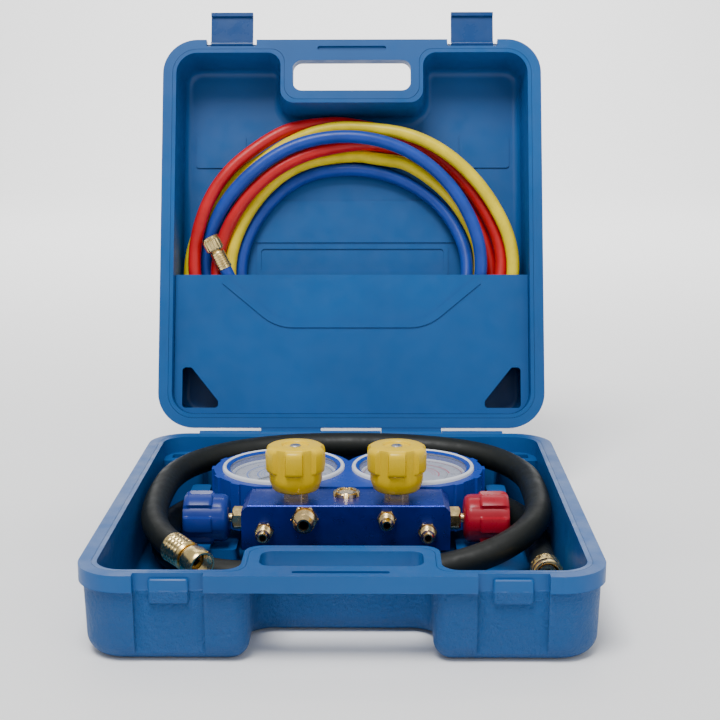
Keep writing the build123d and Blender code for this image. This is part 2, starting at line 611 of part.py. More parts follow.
def gauge(side, name):
    """One Bourdon gauge: stem, case, tube, movement, dial, pointer, lens and bezel."""
    x = side * GAUGE_X
    centre = (x, GAUGE_Y)
    case_bottom = COVER_BOTTOM + COVER_T
    case_top = BEZEL_TOP - 6
    cup = rod((*centre, case_bottom), (0, 0, 1), CASE_R, case_top - case_bottom)
    cup -= rod((*centre, case_bottom + CASE_T), (0, 0, 1), CASE_R - CASE_T, case_top)
    socket_l = 10.0
    stem_end = GAUGE_Y - CASE_R + socket_l
    cup -= rod((x, BLOCK_BACK, VALVE_Z), (0, 1, 0), GAUGE_STEM_R, stem_end - BLOCK_BACK)
    keep("gauge_case_" + name, cup)
    stem = rod((x, BLOCK_BACK - STEM_SOCKET, VALVE_Z), (0, 1, 0), GAUGE_STEM_R,
               stem_end - BLOCK_BACK + STEM_SOCKET)
    stem -= rod((x, BLOCK_BACK - STEM_SOCKET - 1, VALVE_Z), (0, 1, 0), 1.5, stem_end - BLOCK_BACK)
    tube_block = box_between((x - 7, stem_end - 0.5, VALVE_Z - 7), (x + 7, stem_end + 12, VALVE_Z + 5))
    tube_r = CASE_R * 0.66
    tube_plan = (Circle(tube_r + 2) - Circle(tube_r - 2))
    opening = Polygon((0, 0), (-80, -17), (-80, 45), align=None)
    arc = Rot(0, 0, 90) * (tube_plan - opening)
    foot = stem_end + 12
    tube = Pos(*centre, VALVE_Z - 6) * extrude(arc, amount=9)
    tube -= box_between((x - 7, foot - 30, VALVE_Z - 12), (x + 7, foot, VALVE_Z + 8))
    movement = box_between((x - 12, foot, VALVE_Z - 6), (x + 12, GAUGE_Y + 12, VALVE_Z - 3))
    movement += box_between((x - 12, foot, VALVE_Z + 3), (x + 12, GAUGE_Y + 12, VALVE_Z + 6))
    for dx in (-9, 9):
        movement += rod((x + dx, GAUGE_Y + 8, VALVE_Z - 4), (0, 0, 1), 1.5, 8)
        movement += rod((x + dx, foot + 4, VALVE_Z - 4), (0, 0, 1), 1.5, DIAL_Z - VALVE_Z + 4)
    shaft_r = 1.2
    movement -= rod((*centre, VALVE_Z - 8), (0, 0, 1), shaft_r + RUN_CLEARANCE, 30)
    keep("gauge_works_" + name, stem + tube_block + tube + movement)
    dial = rod((*centre, DIAL_Z), (0, 0, 1), DIAL_R, DIAL_T)
    dial += rod((*centre, DIAL_Z - 1.2), (0, 0, 1), CASE_R - CASE_T - 0.1, 1.2)
    dial -= rod((*centre, DIAL_Z - 2), (0, 0, 1), 2.0, 6)
    for dx in (-9, 9):
        dial -= rod((x + dx, foot + 4, DIAL_Z - 3), (0, 0, 1), 1.6, 3)
    keep("dial_" + name, dial)
    seat = rod((*centre, case_top), (0, 0, 1), BEZEL_R, BEZEL_TOP - case_top)
    bezel_in = BEZEL_R - BEZEL_WIDTH
    bezel = seat - rod((*centre, case_top - 1), (0, 0, 1), bezel_in, 10)
    bezel -= rod((*centre, LENS_Z), (0, 0, 1), bezel_in + 1.6, LENS_T)
    bezel = chamfer(bezel.faces().sort_by(Axis.Z)[-1].edges(), 1.0)
    keep("bezel_" + name, bezel)
    keep("lens_" + name, rod((*centre, LENS_Z), (0, 0, 1), bezel_in + 1.55, LENS_T - 0.05))
    pointer_z = DIAL_Z + DIAL_T + 0.8
    shaft = rod((*centre, VALVE_Z - 5.8), (0, 0, 1), shaft_r, pointer_z - VALVE_Z + 6.5)
    needle = Polygon((-11, -1.8), (0, -1.4), (DIAL_R * 0.80, -0.35), (DIAL_R * 0.80, 0.35),
                     (0, 1.4), (-11, 1.8), align=None)
    hand = extrude(Pos(0, 0, pointer_z) * needle, amount=0.6)
    hand += rod((0, 0, pointer_z - 0.4), (0, 0, 1), 3.0, 1.6)
    hand = Pos(*centre, 0) * Rot(0, 0, POINTER_REST) * hand
    keep("pointer_" + name, hand + shaft)


gauge(-1, "low_side")
gauge(1, "high_side")


# ---- hoses ----------------------------------------------------------------------------------
def hose_line(points):
    """Centre line through a route's points: straight runs joined by arcs as large as fit."""
    corners = [Vector(*p) for p in points]
    radii = []
    for before, corner, after in zip(corners, corners[1:], corners[2:]):
        run_in, run_out = corner - before, after - corner
        turn = math.radians(run_in.get_angle(run_out))
        radii.append(0.45 * min(run_in.length, run_out.length) / math.tan(turn / 2))
    return FilletPolyline(*corners, radius=radii)


def hose(points, radius):
    """Plain round hose along a route."""
    line = hose_line(points)
    start = Plane(origin=line @ 0, z_dir=line % 0)
    return sweep(start * Circle(radius), path=line)


def end_fitting(point, direction, radius, ferrule_l, nut_r, nut_l):
    """Crimped ferrule on a hose end and the coupling nut that swivels on it."""
    out = tuple(Vector(*direction).normalized())
    overlap = ferrule_l * 0.75
    back = along(point, out, -overlap)
    wall = radius + FERRULE_WALL
    neck = radius * 0.62
    collar = radius * 0.86
    ferrule = turned(back, out, [(wall, 0), (wall, ferrule_l - 1.5), (wall - 1.2, ferrule_l),
                                 (neck, ferrule_l), (neck, ferrule_l + 3), (collar, ferrule_l + 3),
                                 (collar, ferrule_l + 5), (neck, ferrule_l + 8)])
    ferrule -= rod(back, out, radius + RUN_CLEARANCE, overlap + 0.02)
    ferrule -= rod(back, out, radius * 0.36, ferrule_l + 10)
    shoulder = along(back, out, ferrule_l + 0.4)
    nut = turned(shoulder, out, [(nut_r - 1, 0), (nut_r, 1), (nut_r, nut_l - 1), (nut_r - 1, nut_l)])
    nut -= rod(shoulder, out, neck + RUN_CLEARANCE, nut_l + 1)
    nut -= rod(along(shoulder, out, 2.4), out, collar + 0.1, nut_l)
    nut -= rod(along(shoulder, out, 6.0), out, nut_r - 2.4, nut_l)
    return ferrule, nut


def fit_ends(name, points, radius, ferrule_l, nut_r, nut_l):
    """Both ends of a hose get a ferrule and a nut."""
    ferrules = []
    ends = (("start", points[0], points[1]), ("end", points[-1], points[-2]))
    for end_name, tip, inner in ends:
        direction = [a - b for a, b in zip(tip, inner)]
        ferrule, nut = end_fitting(tip, direction, radius, ferrule_l, nut_r, nut_l)
        ferrules.append(ferrule)
        keep("nut_" + name + "_" + end_name, nut)
    keep("ferrules_" + name, Compound(children=ferrules))


# Vacuum hose: nearly two rounds of the tray, one over the other. Its lower round lies on the floor.
LOW = BASE_FLOOR + VACUUM_HOSE_R + 0.4
VACUUM_ROUTE = [
    (-113, -62, 34), (-130, -42, 37), (-144, -9, 41), (-146, 37, 47), (-140, 84, 52), (-113, 124, 54),
    (-63, 148, 56), (0, 151.5, 57), (63, 148, 56), (115, 129, 54), (143, 88, 50), (146, 40, 47),
    (144, -4, 43), (124, -37, 36), (92, -52, 26), (48, -56, 18), (0, -57, LOW), (-50, -56, LOW + 0.2),
    (-98, -48, LOW), (-131, -18, LOW + 0.2), (-143, 27, LOW), (-142, 76, LOW + 0.2), (-120, 118, LOW),
    (-78, 144.5, LOW + 0.2), (-27, 148.8, LOW), (27, 148.8, LOW + 0.2), (78, 144.5, LOW), (120, 118, LOW + 0.2),
    (142, 76, LOW), (144, 30, LOW + 0.2), (144, -12, LOW + 0.6), (143, -46, 20), (141, -76, 27),
]
keep("vacuum_hose", hose(VACUUM_ROUTE, VACUUM_HOSE_R))
fit_ends("vacuum", VACUUM_ROUTE, VACUUM_HOSE_R, VACUUM_FERRULE_L, VACUUM_NUT_R, VACUUM_NUT_L)

# Charging hoses: two turns each in the lid pocket, fanned out and crossing. A row is the angle
# round the coil, the radius there, and the depth behind the parting plane.
COIL_V = 150.0
COIL_SHRINK = 0.967       # how far the smooth line cuts inside its corners
BLUE_TURNS = [
    (240, 105.6, 17.3), (270, 102.5, 17.5), (300, 101, 19), (330, 103.2, 20.5), (360, 105.3, 28.9),
    (390, 98.5, 38.5), (420, 91, 40), (450, 88.9, 40.1), (480, 93.8, 39.9), (510, 96.3, 40.1),
    (540, 102.3, 40.1), (570, 103.3, 40.1), (600, 109.1, 40.1), (630, 103, 40), (660, 104, 38.5),
    (690, 116.2, 28.1), (720, 116.8, 16.9), (750, 113, 17.1), (780, 112.6, 15), (810, 113.4, 12.3),
    (840, 118, 12.4), (870, 123.4, 13), (892, 131.1, 33.3), (908, 129, 36.9), (922, 126, 37.1),
]
YELLOW_TURNS = [
    (270, 67.2, 29.7), (300, 83.1, 33.7), (330, 108.9, 38.7), (360, 118.3, 29.6),
    (390, 109.5, 28.6), (420, 103.6, 28), (435, 97.7, 32.5), (450, 100, 37.4), (480, 104, 30.6),
    (510, 105.2, 31.2), (540, 111.5, 33), (570, 112.5, 24.7), (600, 111.3, 28.1),
    (630, 114.5, 32.1), (660, 130, 23.6), (690, 141.1, 22.1), (720, 147.1, 17.2), (750, 135, 17.1),
    (780, 129.1, 16.3), (810, 122, 21.9), (825, 122, 22.3), (840, 121.9, 26), (870, 135.2, 30.5),
    (900, 149.7, 36.9), (930, 147.3, 34.6), (943, 141.1, 36.1), (956, 134, 36.6),
]
RED_TURNS = [
    (318, 128.2, 38.1), (337, 128.6, 40.5), (360, 126.5, 39), (390, 120, 40.2), (420, 113.1, 39.5),
    (435, 110.9, 33.1), (450, 106.3, 23), (480, 107.1, 18.7), (510, 112.9, 20.8),
    (540, 122.8, 28.7), (570, 123.9, 18.2), (600, 118, 17.7), (630, 115.8, 17.1), (660, 116.2, 18),
    (690, 125.9, 20), (720, 138, 27.7), (750, 127.5, 28.6), (780, 126.1, 28.6), (810, 127.9, 33.6),
    (825, 131.1, 31.6), (840, 135.1, 24), (870, 141.2, 16.5), (900, 143.1, 25.8), (930, 140, 19.9),
    (948, 136, 20), (962, 131, 20.4),
]
# the blue hose's first end comes up over the panel's edge at the front of the pocket
BLUE_START = [(-119.5, 155, 13.4), (-109, 134.5, 18.2), (-94.5, 103.2, 17.2)]


def coil_route(turns):
    """Points of a coiled hose on the shut lid."""
    points = []
    for angle, radius, depth in turns:
        reach = radius / COIL_SHRINK
        u = reach * math.cos(math.radians(angle))
        v = COIL_V + reach * math.sin(math.radians(angle))
        points.append((u, BACK - v, BASE_H + depth))
    return points


def on_lid(points):
    """Route points carried round to the open lid."""
    turn = math.radians(-OPEN_ANGLE)
    cos_turn, sin_turn = math.cos(turn), math.sin(turn)
    carried = []
    for x, y, z in points:
        dy, dz = y - HINGE_Y, z - HINGE_Z
        carried.append((x, HINGE_Y + dy * cos_turn - dz * sin_turn,
                        HINGE_Z + dy * sin_turn + dz * cos_turn))
    return carried


blue_start = [(u, BACK - v, BASE_H + depth) for u, v, depth in BLUE_START]
CHARGING_ROUTES = {
    "blue": on_lid(blue_start + coil_route(BLUE_TURNS)),
    "yellow": on_lid(coil_route(YELLOW_TURNS)),
    "red": on_lid(coil_route(RED_TURNS)),
}
for colour, route in CHARGING_ROUTES.items():
    keep("hose_" + colour, hose(route, HOSE_R))
    fit_ends(colour, route, HOSE_R, FERRULE_L, NUT_R, NUT_L)

os.makedirs("parts", exist_ok=True)
for node, shape in parts.items():
    export_step(shape, "parts/" + node + ".step")
print(len(parts), "sub-parts written")
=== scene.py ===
import math

import bmesh
import bpy
from mathutils import Matrix, Vector


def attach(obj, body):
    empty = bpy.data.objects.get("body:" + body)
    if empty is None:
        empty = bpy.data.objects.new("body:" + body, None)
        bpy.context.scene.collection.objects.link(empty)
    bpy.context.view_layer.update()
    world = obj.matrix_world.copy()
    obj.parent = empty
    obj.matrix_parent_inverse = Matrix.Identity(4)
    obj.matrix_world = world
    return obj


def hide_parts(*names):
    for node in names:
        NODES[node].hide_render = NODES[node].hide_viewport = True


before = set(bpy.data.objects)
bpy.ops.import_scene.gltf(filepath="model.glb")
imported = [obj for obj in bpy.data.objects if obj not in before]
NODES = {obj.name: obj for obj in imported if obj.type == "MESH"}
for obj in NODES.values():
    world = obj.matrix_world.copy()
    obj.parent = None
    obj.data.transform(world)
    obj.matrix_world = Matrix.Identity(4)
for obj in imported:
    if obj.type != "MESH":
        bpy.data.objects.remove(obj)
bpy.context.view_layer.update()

bl_info = {
    "name": "Refrigerant manifold gauge set",
    "version": (1, 0, 0),
    "blender": (4, 5, 0),
    "location": "View3D > Sidebar > Gauge set",
    "description": "Dresses the manifold, its gauges, hoses and carry case",
    "category": "Object",
}

MM = 0.001
VALVES = ("low_side", "high_side", "vacuum", "charge")
SIDES = (("low_side", -1), ("high_side", 1))

# the same places as in the part's source, in millimetres
HINGE = Vector((0, 183, 55))
OPEN_ANGLE = 107.3
RIM_BACK, PARTING = 175.0, 60.0
BLOCK_HALF, BLOCK_FRONT, BLOCK_TOP, VALVE_Z = 76.5, -24.0, 58.0, 41.0
GAUGE_X, GAUGE_Y, DIAL_FACE, LENS_Z = 51.3, 72.0, 53.8, 57.6
WELL_R, WALL_R = 42.5, 45.3
TOP_VALVE_X, TOP_VALVE_Y = 37.4, -3.0
SIGHT_GLASS_Y = 2.1
SMALL_FLARE_R, LARGE_FLARE_R = 5.56, 7.94
FLARE_PORTS = (    # x and z on the front of the block, and the thread's radius
    (-59.6, 39.0, SMALL_FLARE_R), (29.9, 48.5, SMALL_FLARE_R), (59.6, 39.0, SMALL_FLARE_R),
    (-29.9, 48.5, LARGE_FLARE_R),
)
SIDE_KNOB, TOP_KNOB = (40.0, 34.0), (45.0, 30.0)    # diameter and length
KNOB_START = 10.7
HOSE_R, VACUUM_HOSE_R = 5.75, 10.0
FERRULE_ON_HOSE = 0.75    # share of a ferrule's length that grips the hose
NUT_RUN = 0.4             # ferrule to swivel nut

# details that only the scene has, in millimetres
BASE_BAND, LID_BAND = 48.5, 11.6    # the grain stops at the smooth rim bands
THREAD_PITCH, THREAD_TURNS = 1.25, 7
SKIRT_L, SKIRT_BORE = 4.5, 9.8      # skirt of a top knob, round its bonnet
SIGHT_GLASS_SLOTS = tuple(math.radians(a) for a in range(30, 360, 60))
DIAL_START, DIAL_SWEEP = 225.0, 270.0    # degrees: lowest mark, and clockwise to the highest

# in metres and degrees: right of straight ahead, down, and clockwise
CAMERA_AT, CAMERA_TURN = (0.02263, -1.0034, 0.3705), (-0.70, 11.77, -0.12)


# ---- sizes and colours that a user would change ----------------------------------------------
def colour(name, value, note):
    return bpy.props.FloatVectorProperty(name=name, description=note, default=value, size=3,
                                         subtype="COLOR", min=0, max=1)


class CaseLook(bpy.types.PropertyGroup):
    """Plastic of the carry case"""
    plastic: colour("Case plastic", (0.003, 0.078, 0.27), "Colour of the moulded case")
    latch: colour("Latch plastic", (0.002, 0.045, 0.18), "Colour of the two latches")
    grain: bpy.props.FloatProperty(name="Grain depth", default=0.75, min=0, max=1,
                                   description="Depth of the spark-eroded grain on the outer walls")


class ManifoldLook(bpy.types.PropertyGroup):
    """Block, valves and gauges"""
    block: colour("Anodised block", (0.006, 0.028, 0.36), "Colour of the anodised block")
    boot: colour("Gauge cover", (0.006, 0.045, 0.36), "Colour of the cover round the gauges")
    low_knob: colour("Low side knob", (0.006, 0.030, 0.24), "Colour of the left knob")
    high_knob: colour("High side knob", (0.34, 0.006, 0.020), "Colour of the right knob")
    top_knob: colour("Top knobs", (0.82, 0.54, 0.0), "Colour of the two top knobs")
    brass: colour("Brass", (0.84, 0.62, 0.29), "Colour of the brass fittings")
    lobes: bpy.props.IntProperty(name="Knob lobes", default=6, min=3, max=12,
                                 description="Number of lobes round each knob")


class HoseLook(bpy.types.PropertyGroup):
    """Hoses and their end fittings"""
    blue: colour("Blue hose", (0.008, 0.05, 0.34), "Colour of the low side hose")
    yellow: colour("Yellow hose", (0.80, 0.62, 0.0), "Colour of the charging hose")
    red: colour("Red hose", (0.52, 0.006, 0.010), "Colour of the high side hose")
    black: colour("Vacuum hose", (0.006, 0.008, 0.007), "Colour of the vacuum hose")
    plating: colour("Plated brass", (0.84, 0.64, 0.28), "Colour of ferrules and nuts")


class StageLook(bpy.types.PropertyGroup):
    """Floor, light and camera"""
    lens: bpy.props.FloatProperty(name="Lens", default=70.2, min=20, max=200, unit="CAMERA",
                                  description="Focal length on a 36 mm sensor")
    ambient: bpy.props.FloatProperty(name="Ambient", default=0.55, min=0,
                                     description="Strength of the even light all round")
    key: bpy.props.FloatProperty(name="Key light", default=75.0, min=0, unit="POWER",
                                 description="Power of the large light above the front")
    floor: colour("Floor", (0.93, 0.93, 0.93), "Colour of the floor")


# ---- finishes ----------------------------------------------------------------------------------
class Finish:
    """Node material in the making; bumps are laid one over another."""

    def __init__(self, name, base, roughness, metallic=0.0, **sockets):
        self.material = bpy.data.materials.new(name)
        self.material.use_nodes = True
        self.tree = self.material.node_tree
        self.shader = self.tree.nodes["Principled BSDF"]
        self.shader.inputs["Base Color"].default_value = (*base, 1)
        self.shader.inputs["Roughness"].default_value = roughness
        self.shader.inputs["Metallic"].default_value = metallic
        for socket, value in sockets.items():
            self.shader.inputs[socket.replace("_", " ")].default_value = value
        self.place = self.add("ShaderNodeTexCoord").outputs["Object"]
        self.height = None

    def add(self, kind, **values):
        node = self.tree.nodes.new(kind)
        for key, value in values.items():
            setattr(node, key, value)
        return node

    def link(self, source, target):
        self.tree.links.new(source, target)

    def noise(self, scale, detail=3.0, roughness=0.5, stretch=None):
        place = self.place
        if stretch:
            mapping = self.add("ShaderNodeMapping")
            mapping.inputs["Scale"].default_value = stretch
            self.link(place, mapping.inputs["Vector"])
            place = mapping.outputs["Vector"]
        node = self.add("ShaderNodeTexNoise")
        self.link(place, node.inputs["Vector"])
        for socket, value in (("Scale", scale), ("Detail", detail), ("Roughness", roughness)):
            node.inputs[socket].default_value = value
        return node.outputs["Fac"]

    def spread(self, fac, low, high):
        """The middle of a noise stretched to run from low to high."""
        node = self.add("ShaderNodeMapRange")
        self.link(fac, node.inputs["Value"])
        for socket, value in (("From Min", 0.3), ("From Max", 0.7), ("To Min", low), ("To Max", high)):
            node.inputs[socket].default_value = value
        return node.outputs["Result"]

    def mottle(self, base, fac, darker, lighter):
        """Base colour that drifts a little darker and lighter."""
        mix = self.add("ShaderNodeMix", data_type="RGBA")
        mix.inputs["A"].default_value = (*[c * darker for c in base], 1)
        mix.inputs["B"].default_value = (*[min(1, c * lighter) for c in base], 1)
        self.link(fac, mix.inputs["Factor"])
        self.link(mix.outputs["Result"], self.shader.inputs["Base Color"])

    def vary_roughness(self, fac, low, high):
        self.link(self.spread(fac, low, high), self.shader.inputs["Roughness"])

    def bump(self, height, strength, distance):
        node = self.add("ShaderNodeBump")
        node.inputs["Strength"].default_value = strength
        node.inputs["Distance"].default_value = distance
        self.link(height, node.inputs["Height"])
        if self.height:
            self.link(self.height, node.inputs["Normal"])
        self.height = node.outputs["Normal"]
        self.link(self.height, self.shader.inputs["Normal"])

    def above(self, normal, offset, soft=0.0006):
        """0 below a plane and 1 above it, for a grain that stops at a line."""
        dot = self.add("ShaderNodeVectorMath", operation="DOT_PRODUCT")
        self.link(self.place, dot.inputs[0])
        dot.inputs[1].default_value = normal
        node = self.add("ShaderNodeMapRange")
        self.link(dot.outputs["Value"], node.inputs["Value"])
        node.inputs["From Min"].default_value = offset - soft
        node.inputs["From Max"].default_value = offset + soft
        return node.outputs["Result"]

    def times(self, a, b):
        node = self.add("ShaderNodeMath", operation="MULTIPLY")
        self.link(a, node.inputs[0])
        self.link(b, node.inputs[1])
        return node.outputs["Value"]


def moulded(name, base, roughness=0.40, grain=0.12, grained_beyond=None, grain_depth=0.35):
    """Moulded plastic: fine skin, slight flow marks, and a coarse grain beyond a line if asked."""
    finish = Finish(name, base, roughness, Specular_IOR_Level=0.34)
    finish.mottle(base, finish.spread(finish.noise(9, 4), 0, 1), 0.90, 1.10)
    finish.vary_roughness(finish.noise(70, 3), roughness - 0.06, roughness + 0.08)
    finish.bump(finish.noise(1500, 2), grain, 0.0002)
    finish.bump(finish.noise(14, 2), 0.12, 0.0015)
    if grained_beyond:
        cells = finish.spread(finish.noise(300, 5, 0.7), 0, 1)
        finish.bump(finish.times(cells, finish.above(*grained_beyond)), grain_depth, 0.0022)
    return finish.material


def metal(name, base, roughness=0.24, brushed=None):
    """Machined metal with faint tool marks and handling stains."""
    finish = Finish(name, base, roughness, 1.0)
    finish.mottle(base, finish.spread(finish.noise(60, 5, 0.6), 0, 1), 0.82, 1.12)
    finish.vary_roughness(finish.noise(180, 4, 0.6), roughness - 0.08, roughness + 0.14)
    finish.bump(finish.noise(900, 3, stretch=brushed), 0.10, 0.0002)
    return finish.material


def hose_rubber(name, base, roughness=0.34, coat=0.25):
    """Extruded hose cover: slightly waxy, with faint weave showing through and rub marks."""
    finish = Finish(name, base, roughness, Coat_Weight=coat, Coat_Roughness=0.25,
                    Specular_IOR_Level=0.32)
    finish.mottle(base, finish.spread(finish.noise(45, 5, 0.6), 0, 1), 0.80, 1.12)
    finish.vary_roughness(finish.noise(120, 4, 0.6), roughness - 0.06, roughness + 0.16)
    finish.bump(finish.noise(420, 2), 0.10, 0.0004)
    return finish.material


def printed(name, base, roughness=0.45):
    """Printing ink or painted sheet."""
    finish = Finish(name, base, roughness)
    finish.mottle(base, finish.spread(finish.noise(90, 3), 0, 1), 0.96, 1.03)
    return finish.material


def clear(name, tint, alpha):
    """Polished clear plastic or glass."""
    finish = Finish(name, tint, 0.05, Alpha=alpha, Coat_Weight=1.0, Coat_Roughness=0.03)
    finish.vary_roughness(finish.noise(80, 3), 0.03, 0.08)
    return finish.material


# ---- making meshes -----------------------------------------------------------------------------
class Form:
    """Points and faces of one piece, in millimetres."""

    def __init__(self):
        self.points, self.faces = [], []

    def grid(self, rows, closed_rows=False, closed_columns=True):
        """Faces between rows of points."""
        start, count = len(self.points), len(rows[0])
        for row in rows:
            self.points.extend(row)
        last_row = len(rows) if closed_rows else len(rows) - 1
        last_column = count if closed_columns else count - 1
        for r in range(last_row):
            a, b = start + r * count, start + ((r + 1) % len(rows)) * count
            for c in range(last_column):
                d = (c + 1) % count
                self.faces.append((a + c, a + d, b + d, b + c))

    def lathe(self, profile, origin=(0, 0, 0), direction=(0, 0, 1), segments=64, shape=None,
              closed=False):
        """Turned form: profile is (radius, distance); shape may change a radius with the angle."""
        turn = Vector((0, 0, 1)).rotation_difference(Vector(direction)).to_matrix()
        rows = []
        for radius, distance in profile:
            row = []
            for index in range(segments):
                angle = 2 * math.pi * index / segments
                r = shape(angle, radius, distance) if shape else radius
                row.append(Vector(origin) + turn @ Vector((r * math.cos(angle), r * math.sin(angle),
                                                           distance)))
            rows.append(row)
        self.grid(rows, closed_rows=closed)
        return self

    def ring_arc(self, inner, outer, start, end, z, centre=(0, 0), steps=48):
        """Flat printed band on a dial, from one angle to another, in degrees."""
        rows = []
        for radius in (inner, outer):
            row = []
            for i in range(steps + 1):
                a = math.radians(start + (end - start) * i / steps)
                row.append(Vector((centre[0] + radius * math.cos(a),
                                   centre[1] + radius * math.sin(a), z)))
            rows.append(row)
        if start > end:
            rows.reverse()
        self.grid(list(reversed(rows)), closed_columns=False)
        return self

    def add_mesh(self, mesh, matrix):
        start = len(self.points)
        self.points.extend(matrix @ v.co for v in mesh.vertices)
        self.faces.extend(tuple(start + i for i in p.vertices) for p in mesh.polygons)

    def make(self, name, body, slot, finish, replaces=(), bevel=0.0, sharp=32, solid=True):
        """The piece itself, riding on its body; a flat print isn't solid and keeps its normals."""
        mesh = bpy.data.meshes.new(name)
        mesh.from_pydata([tuple(Vector(p) * MM) for p in self.points], [], self.faces)
        work = bmesh.new()
        work.from_mesh(mesh)
        bmesh.ops.remove_doubles(work, verts=work.verts, dist=1e-6)
        degenerate = [f for f in work.faces if f.calc_area() < 1e-13]
        bmesh.ops.delete(work, geom=degenerate, context="FACES_ONLY")
        if solid:
            bmesh.ops.recalc_face_normals(work, faces=work.faces)
        work.to_mesh(mesh)
        work.free()
        mesh.shade_smooth()
        mesh.set_sharp_from_angle(angle=math.radians(sharp))
        piece = bpy.data.objects.new(name, mesh)
        bpy.context.scene.collection.objects.link(piece)
        mesh.materials.append(finish)
        if bevel:
            modifier = piece.modifiers.new("edges", "BEVEL")
            modifier.width, modifier.segments = bevel * MM, 2
            modifier.limit_method, modifier.angle_limit = "ANGLE", math.radians(40)
            modifier.harden_normals = True
        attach(piece, body)
        if replaces:
            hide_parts(*replaces)
        return piece


def six_sided(across_flats):
    """Hexagon for lathe: each radius is held inside the flats."""
    def shape(angle, radius, distance):
        flat = across_flats / 2 / math.cos((angle % (math.pi / 3)) - math.pi / 6)
        return min(radius, flat)
    return shape


def dress(finish, *nodes):
    """Puts a finish on CAD nodes that stay as they are."""
    for name in nodes:
        node = NODES[name]
        node.data.materials.clear()
        node.data.materials.append(finish)


def open_lid(point):
    """Point of the shut lid carried to the open lid."""
    turn = Matrix.Rotation(math.radians(-OPEN_ANGLE), 3, "X")
    return HINGE + turn @ (Vector(point) - HINGE)


def on_lid(u, v, depth):
    """Point of the open lid from its place on the shut lid."""
    return open_lid((u, RIM_BACK - v, PARTING + depth))


# ---- hose routes, the same points as in the part's source ----------------------------------------
LOW = 15.2    # height of the lower round of the vacuum hose
VACUUM_ROUTE = [
    (-113, -62, 34), (-130, -42, 37), (-144, -9, 41), (-146, 37, 47), (-140, 84, 52), (-113, 124, 54),
    (-63, 148, 56), (0, 151.5, 57), (63, 148, 56), (115, 129, 54), (143, 88, 50), (146, 40, 47),
    (144, -4, 43), (124, -37, 36), (92, -52, 26), (48, -56, 18), (0, -57, LOW), (-50, -56, LOW + 0.2),
    (-98, -48, LOW), (-131, -18, LOW + 0.2), (-143, 27, LOW), (-142, 76, LOW + 0.2), (-120, 118, LOW),
    (-78, 144.5, LOW + 0.2), (-27, 148.8, LOW), (27, 148.8, LOW + 0.2), (78, 144.5, LOW),
    (120, 118, LOW + 0.2), (142, 76, LOW), (144, 30, LOW + 0.2), (144, -12, LOW + 0.6),
    (143, -46, 20), (141, -76, 27),
]
BLUE_TURNS = [
    (240, 105.6, 17.3), (270, 102.5, 17.5), (300, 101, 19), (330, 103.2, 20.5), (360, 105.3, 28.9),
    (390, 98.5, 38.5), (420, 91, 40), (450, 88.9, 40.1), (480, 93.8, 39.9), (510, 96.3, 40.1),
    (540, 102.3, 40.1), (570, 103.3, 40.1), (600, 109.1, 40.1), (630, 103, 40), (660, 104, 38.5),
    (690, 116.2, 28.1), (720, 116.8, 16.9), (750, 113, 17.1), (780, 112.6, 15), (810, 113.4, 12.3),
    (840, 118, 12.4), (870, 123.4, 13), (892, 131.1, 33.3), (908, 129, 36.9), (922, 126, 37.1),
]
YELLOW_TURNS = [
    (270, 67.2, 29.7), (300, 83.1, 33.7), (330, 108.9, 38.7), (360, 118.3, 29.6),
    (390, 109.5, 28.6), (420, 103.6, 28), (435, 97.7, 32.5), (450, 100, 37.4), (480, 104, 30.6),
    (510, 105.2, 31.2), (540, 111.5, 33), (570, 112.5, 24.7), (600, 111.3, 28.1),
    (630, 114.5, 32.1), (660, 130, 23.6), (690, 141.1, 22.1), (720, 147.1, 17.2), (750, 135, 17.1),
    (780, 129.1, 16.3), (810, 122, 21.9), (825, 122, 22.3), (840, 121.9, 26), (870, 135.2, 30.5),
    (900, 149.7, 36.9), (930, 147.3, 34.6), (943, 141.1, 36.1), (956, 134, 36.6),
]
RED_TURNS = [
    (318, 128.2, 38.1), (337, 128.6, 40.5), (360, 126.5, 39), (390, 120, 40.2), (420, 113.1, 39.5),
    (435, 110.9, 33.1), (450, 106.3, 23), (480, 107.1, 18.7), (510, 112.9, 20.8),
    (540, 122.8, 28.7), (570, 123.9, 18.2), (600, 118, 17.7), (630, 115.8, 17.1), (660, 116.2, 18),
    (690, 125.9, 20), (720, 138, 27.7), (750, 127.5, 28.6), (780, 126.1, 28.6), (810, 127.9, 33.6),
    (825, 131.1, 31.6), (840, 135.1, 24), (870, 141.2, 16.5), (900, 143.1, 25.8), (930, 140, 19.9),
    (948, 136, 20), (962, 131, 20.4),
]
BLUE_START = [(-119.5, 155, 13.4), (-109, 134.5, 18.2), (-94.5, 103.2, 17.2)]

COIL_V, COIL_SHRINK = 150.0, 0.967


def coil_route(turns):
    """Route in the lid from its (angle in degrees, radius, depth) rows."""
    points = []
    for angle, radius, depth in turns:
        reach = radius / COIL_SHRINK
        points.append(on_lid(reach * math.cos(math.radians(angle)),
                             COIL_V + reach * math.sin(math.radians(angle)), depth))
    return points


ROUTES = {
    "blue": [on_lid(*p) for p in BLUE_START] + coil_route(BLUE_TURNS),
    "yellow": coil_route(YELLOW_TURNS),
    "red": coil_route(RED_TURNS),
    "vacuum": [Vector(p) for p in VACUUM_ROUTE],
}


def hose_ends(name):
    """Tip and outward direction of both ends of a hose."""
    route = ROUTES[name]
    for end, tip, inner in (("start", route[0], route[1]), ("end", route[-1], route[-2])):
        yield end, tip, (tip - inner).normalized()


